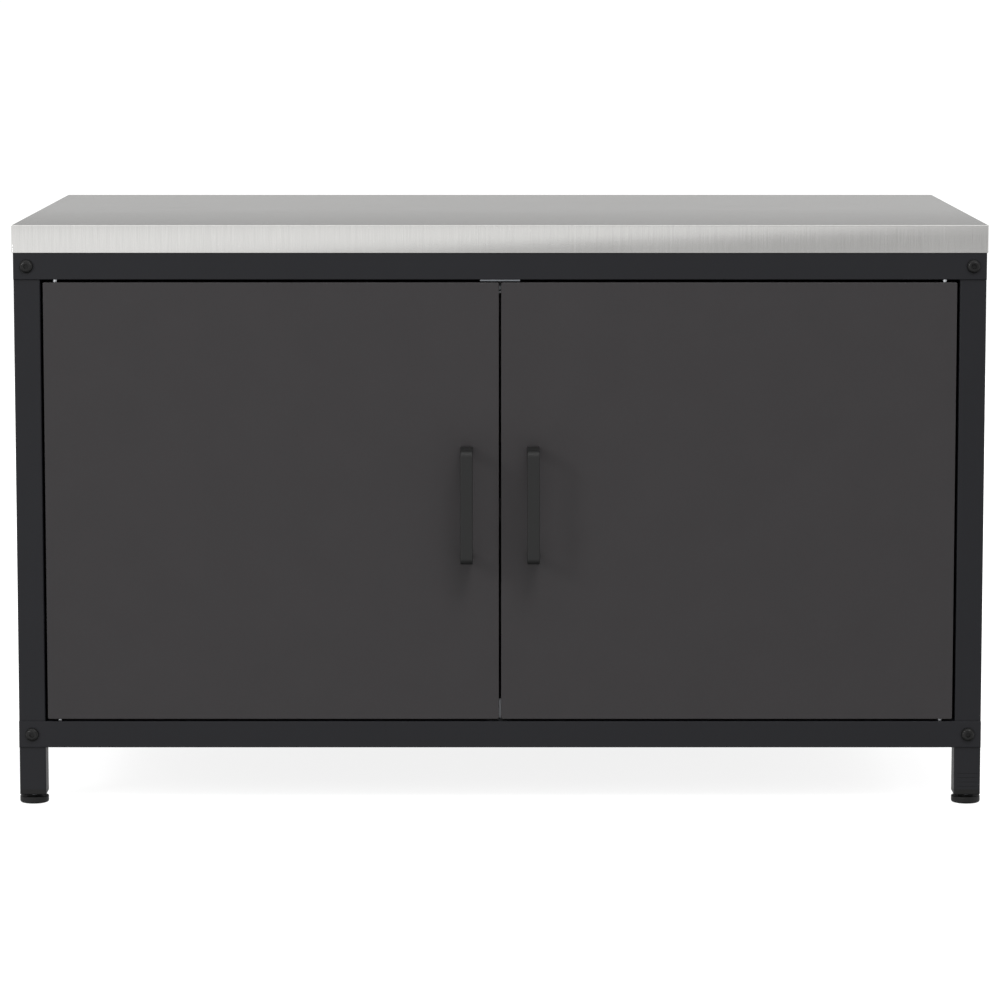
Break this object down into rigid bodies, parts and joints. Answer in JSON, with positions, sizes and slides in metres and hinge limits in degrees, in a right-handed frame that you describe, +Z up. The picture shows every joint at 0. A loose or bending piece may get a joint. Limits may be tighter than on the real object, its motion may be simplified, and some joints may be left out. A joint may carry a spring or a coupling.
{
  "type": "two-door base cabinet",
  "caption": "Low floor-standing cabinet with two inset sheet-steel doors on pivot pins, a bolted tube frame, a brushed steel worktop and levelling feet.",
  "frame": {"origin": "on the floor, under the middle of the whole cabinet's box with its handles", "axes": "+Z up, the doors face -Y, +X to the right seen from the front"},
  "size_m": [1.0026, 0.6488, 0.603],
  "materials": {
    "frame_black": "black powder coat, fine texture, satin",
    "door_anthracite": "anthracite powder coat, fine texture, satin",
    "panel_anthracite": "anthracite powder coat, fine texture, satin",
    "stainless": "brushed stainless steel, grain along the length",
    "board_core": "raw particle board",
    "bolt_black": "black oxide, slightly glossy",
    "zinc_steel": "bright zinc plate",
    "catch_plastic": "moulded grey plastic",
    "ferrite": "sintered ferrite",
    "buffer_rubber": "soft black rubber",
    "bush_plastic": "moulded black nylon",
    "cap_plastic": "moulded anthracite plastic",
    "foot_plastic": "moulded black plastic",
    "handle_black": "black satin coat"
  },
  "bodies": {
    "cabinet": {"post_front_left": "frame_black", "post_rear_left": "frame_black", "post_front_right": "frame_black", "post_rear_right": "frame_black", "side_rail_bottom_left": "frame_black", "side_rail_top_left": "frame_black", "side_rail_bottom_right": "frame_black", "side_rail_top_right": "frame_black", "front_beam_bottom": "frame_black", "front_beam_top": "frame_black", "rear_beam_bottom": "frame_black", "rear_beam_top": "frame_black", "frame_bolts_front": "bolt_black", "frame_bolts_rear": "bolt_black", "frame_nuts": "zinc_steel", "side_panel_left": "panel_anthracite", "side_panel_right": "panel_anthracite", "back_panel": "panel_anthracite", "floor_panel": "panel_anthracite", "floor_stiffeners": "panel_anthracite", "shelf": "panel_anthracite", "shelf_rails": "panel_anthracite", "worktop_skin": "stainless", "worktop_core": "board_core", "worktop_screws": "zinc_steel", "pivot_pins": "zinc_steel", "catch_bracket": "zinc_steel", "catch_housing": "catch_plastic", "catch_pole_plates": "zinc_steel", "catch_magnet": "ferrite", "door_stop": "zinc_steel", "stop_buffers": "buffer_rubber", "leg_plug_front_left": "foot_plastic", "leg_plug_rear_left": "foot_plastic", "leg_plug_front_right": "foot_plastic", "leg_plug_rear_right": "foot_plastic"},
    "left_door": {"left_door_skin": "door_anthracite", "left_door_liner": "door_anthracite", "left_handle_backing_plate": "zinc_steel", "left_pivot_bush_top": "bush_plastic", "left_pivot_bush_bottom": "bush_plastic", "left_handle": "handle_black", "left_handle_screws": "zinc_steel", "left_access_caps": "cap_plastic"},
    "right_door": {"right_door_skin": "door_anthracite", "right_door_liner": "door_anthracite", "right_handle_backing_plate": "zinc_steel", "right_pivot_bush_top": "bush_plastic", "right_pivot_bush_bottom": "bush_plastic", "right_handle": "handle_black", "right_handle_screws": "zinc_steel", "right_access_caps": "cap_plastic"},
    "foot_front_left": {"foot_pad_front_left": "foot_plastic", "foot_stem_front_left": "zinc_steel"},
    "foot_rear_left": {"foot_pad_rear_left": "foot_plastic", "foot_stem_rear_left": "zinc_steel"},
    "foot_front_right": {"foot_pad_front_right": "foot_plastic", "foot_stem_front_right": "zinc_steel"},
    "foot_rear_right": {"foot_pad_rear_right": "foot_plastic", "foot_stem_rear_right": "zinc_steel"}
  },
  "joints": [
    {"name": "left_door_hinge", "type": "hinge", "parent": "cabinet", "child": "left_door", "pos_m": [-0.4577, -0.27145, 0.31675], "axis": [0, 0, -1], "range_deg": [0, 110]},
    {"name": "right_door_hinge", "type": "hinge", "parent": "cabinet", "child": "right_door", "pos_m": [0.4577, -0.27145, 0.31675], "axis": [0, 0, 1], "range_deg": [0, 110]},
    {"name": "foot_front_left_height", "type": "slide", "parent": "cabinet", "child": "foot_front_left", "axis": [0, 0, -1], "range_m": [0, 0.02]},
    {"name": "foot_rear_left_height", "type": "slide", "parent": "cabinet", "child": "foot_rear_left", "axis": [0, 0, -1], "range_m": [0, 0.02]},
    {"name": "foot_front_right_height", "type": "slide", "parent": "cabinet", "child": "foot_front_right", "axis": [0, 0, -1], "range_m": [0, 0.02]},
    {"name": "foot_rear_right_height", "type": "slide", "parent": "cabinet", "child": "foot_rear_right", "axis": [0, 0, -1], "range_m": [0, 0.02]}
  ]
}
